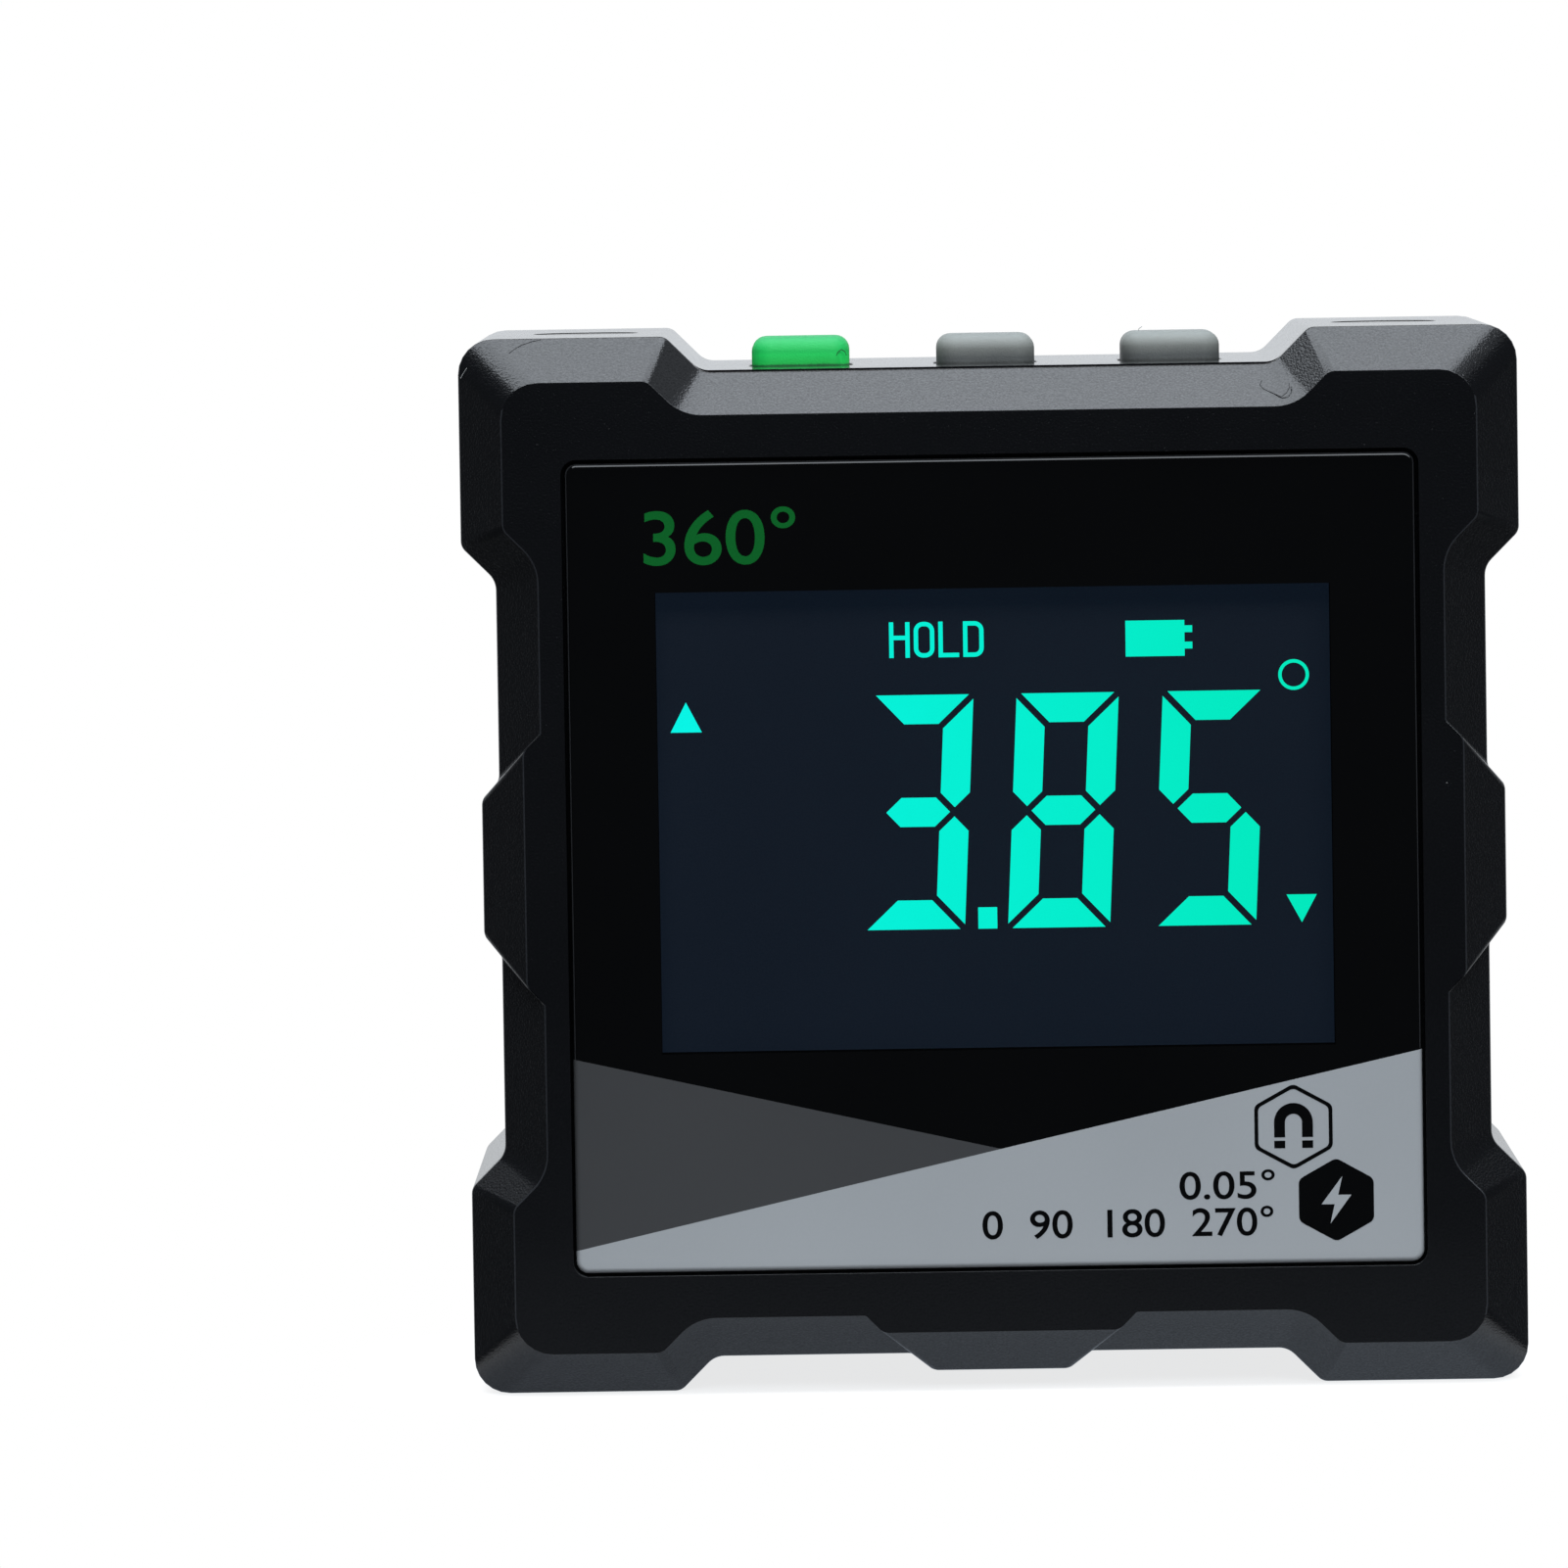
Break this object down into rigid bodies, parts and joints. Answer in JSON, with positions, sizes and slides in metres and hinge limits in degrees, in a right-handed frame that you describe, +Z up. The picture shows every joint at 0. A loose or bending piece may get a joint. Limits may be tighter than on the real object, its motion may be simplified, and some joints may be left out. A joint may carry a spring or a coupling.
{
  "type": "digital angle gauge",
  "caption": "Square magnetic digital angle gauge with a bevelled black bezel, glossy display window, corner pads with disc magnets and soft keys on top.",
  "frame": {"origin": "middle of the base, on the plane of the two lower corner pads", "axes": "+Z up, the display faces -Y, +X to the right as the display is read"},
  "size_m": [0.06, 0.03, 0.06],
  "materials": {
    "black_abs": "fine moulded grain",
    "window_acrylic": "polished, printed on the back",
    "tape": "double-sided tape",
    "lcd": "dark display glass",
    "white_plastic": "translucent white",
    "silicone_dark": "matt",
    "board": "green solder mask",
    "chip": "moulded",
    "plunger": "moulded",
    "key_green": "silicone",
    "key_grey": "silicone",
    "steel": "plated",
    "magnet": "nickel plated",
    "battery": "foil pouch",
    "foam": "foam",
    "lead": "insulated wire"
  },
  "bodies": {
    "gauge_body": {"front_bezel": "black_abs", "rear_housing": "black_abs", "housing_gasket": "silicone_dark", "housing_screws": "steel", "display_window": "window_acrylic", "window_tape": "tape", "lcd_glass": "lcd", "lcd_backlight": "white_plastic", "lcd_carrier": "white_plastic", "contact_strip": "silicone_dark", "main_board": "board", "board_screws": "steel", "processor_chip": "chip", "tilt_sensor": "chip", "power_switch": "chip", "hold_switch": "chip", "unit_switch": "chip", "charge_board": "board", "charge_board_screws": "steel", "charge_chip": "chip", "usb_socket": "steel", "link_socket": "chip", "link_header": "chip", "battery_cell": "battery", "battery_pad": "foam", "battery_leads": "lead", "magnet_bottom_left": "magnet", "magnet_bottom_right": "magnet", "magnet_top_left": "magnet", "magnet_top_right": "magnet", "magnet_left_lower": "magnet", "magnet_left_upper": "magnet", "magnet_right_lower": "magnet", "magnet_right_upper": "magnet"},
    "power_button": {"power_key": "key_green", "power_plunger": "plunger"},
    "hold_button": {"hold_key": "key_grey", "hold_plunger": "plunger"},
    "unit_button": {"unit_key": "key_grey", "unit_plunger": "plunger"},
    "plug_flap": {"port_plug": "silicone_dark"}
  },
  "joints": [
    {"name": "power_press", "type": "slide", "parent": "gauge_body", "child": "power_button", "axis": [0, 0, -1], "range_m": [0, 0.0004], "stiffness_N_per_m": 1000},
    {"name": "hold_press", "type": "slide", "parent": "gauge_body", "child": "hold_button", "axis": [0, 0, -1], "range_m": [0, 0.0004], "stiffness_N_per_m": 1000},
    {"name": "unit_press", "type": "slide", "parent": "gauge_body", "child": "unit_button", "axis": [0, 0, -1], "range_m": [0, 0.0004], "stiffness_N_per_m": 1000},
    {"name": "plug_hinge", "type": "hinge", "parent": "gauge_body", "child": "plug_flap", "pos_m": [0, 0.0143, 0.0187], "axis": [1, 0, 0], "range_deg": [0, 100]}
  ]
}
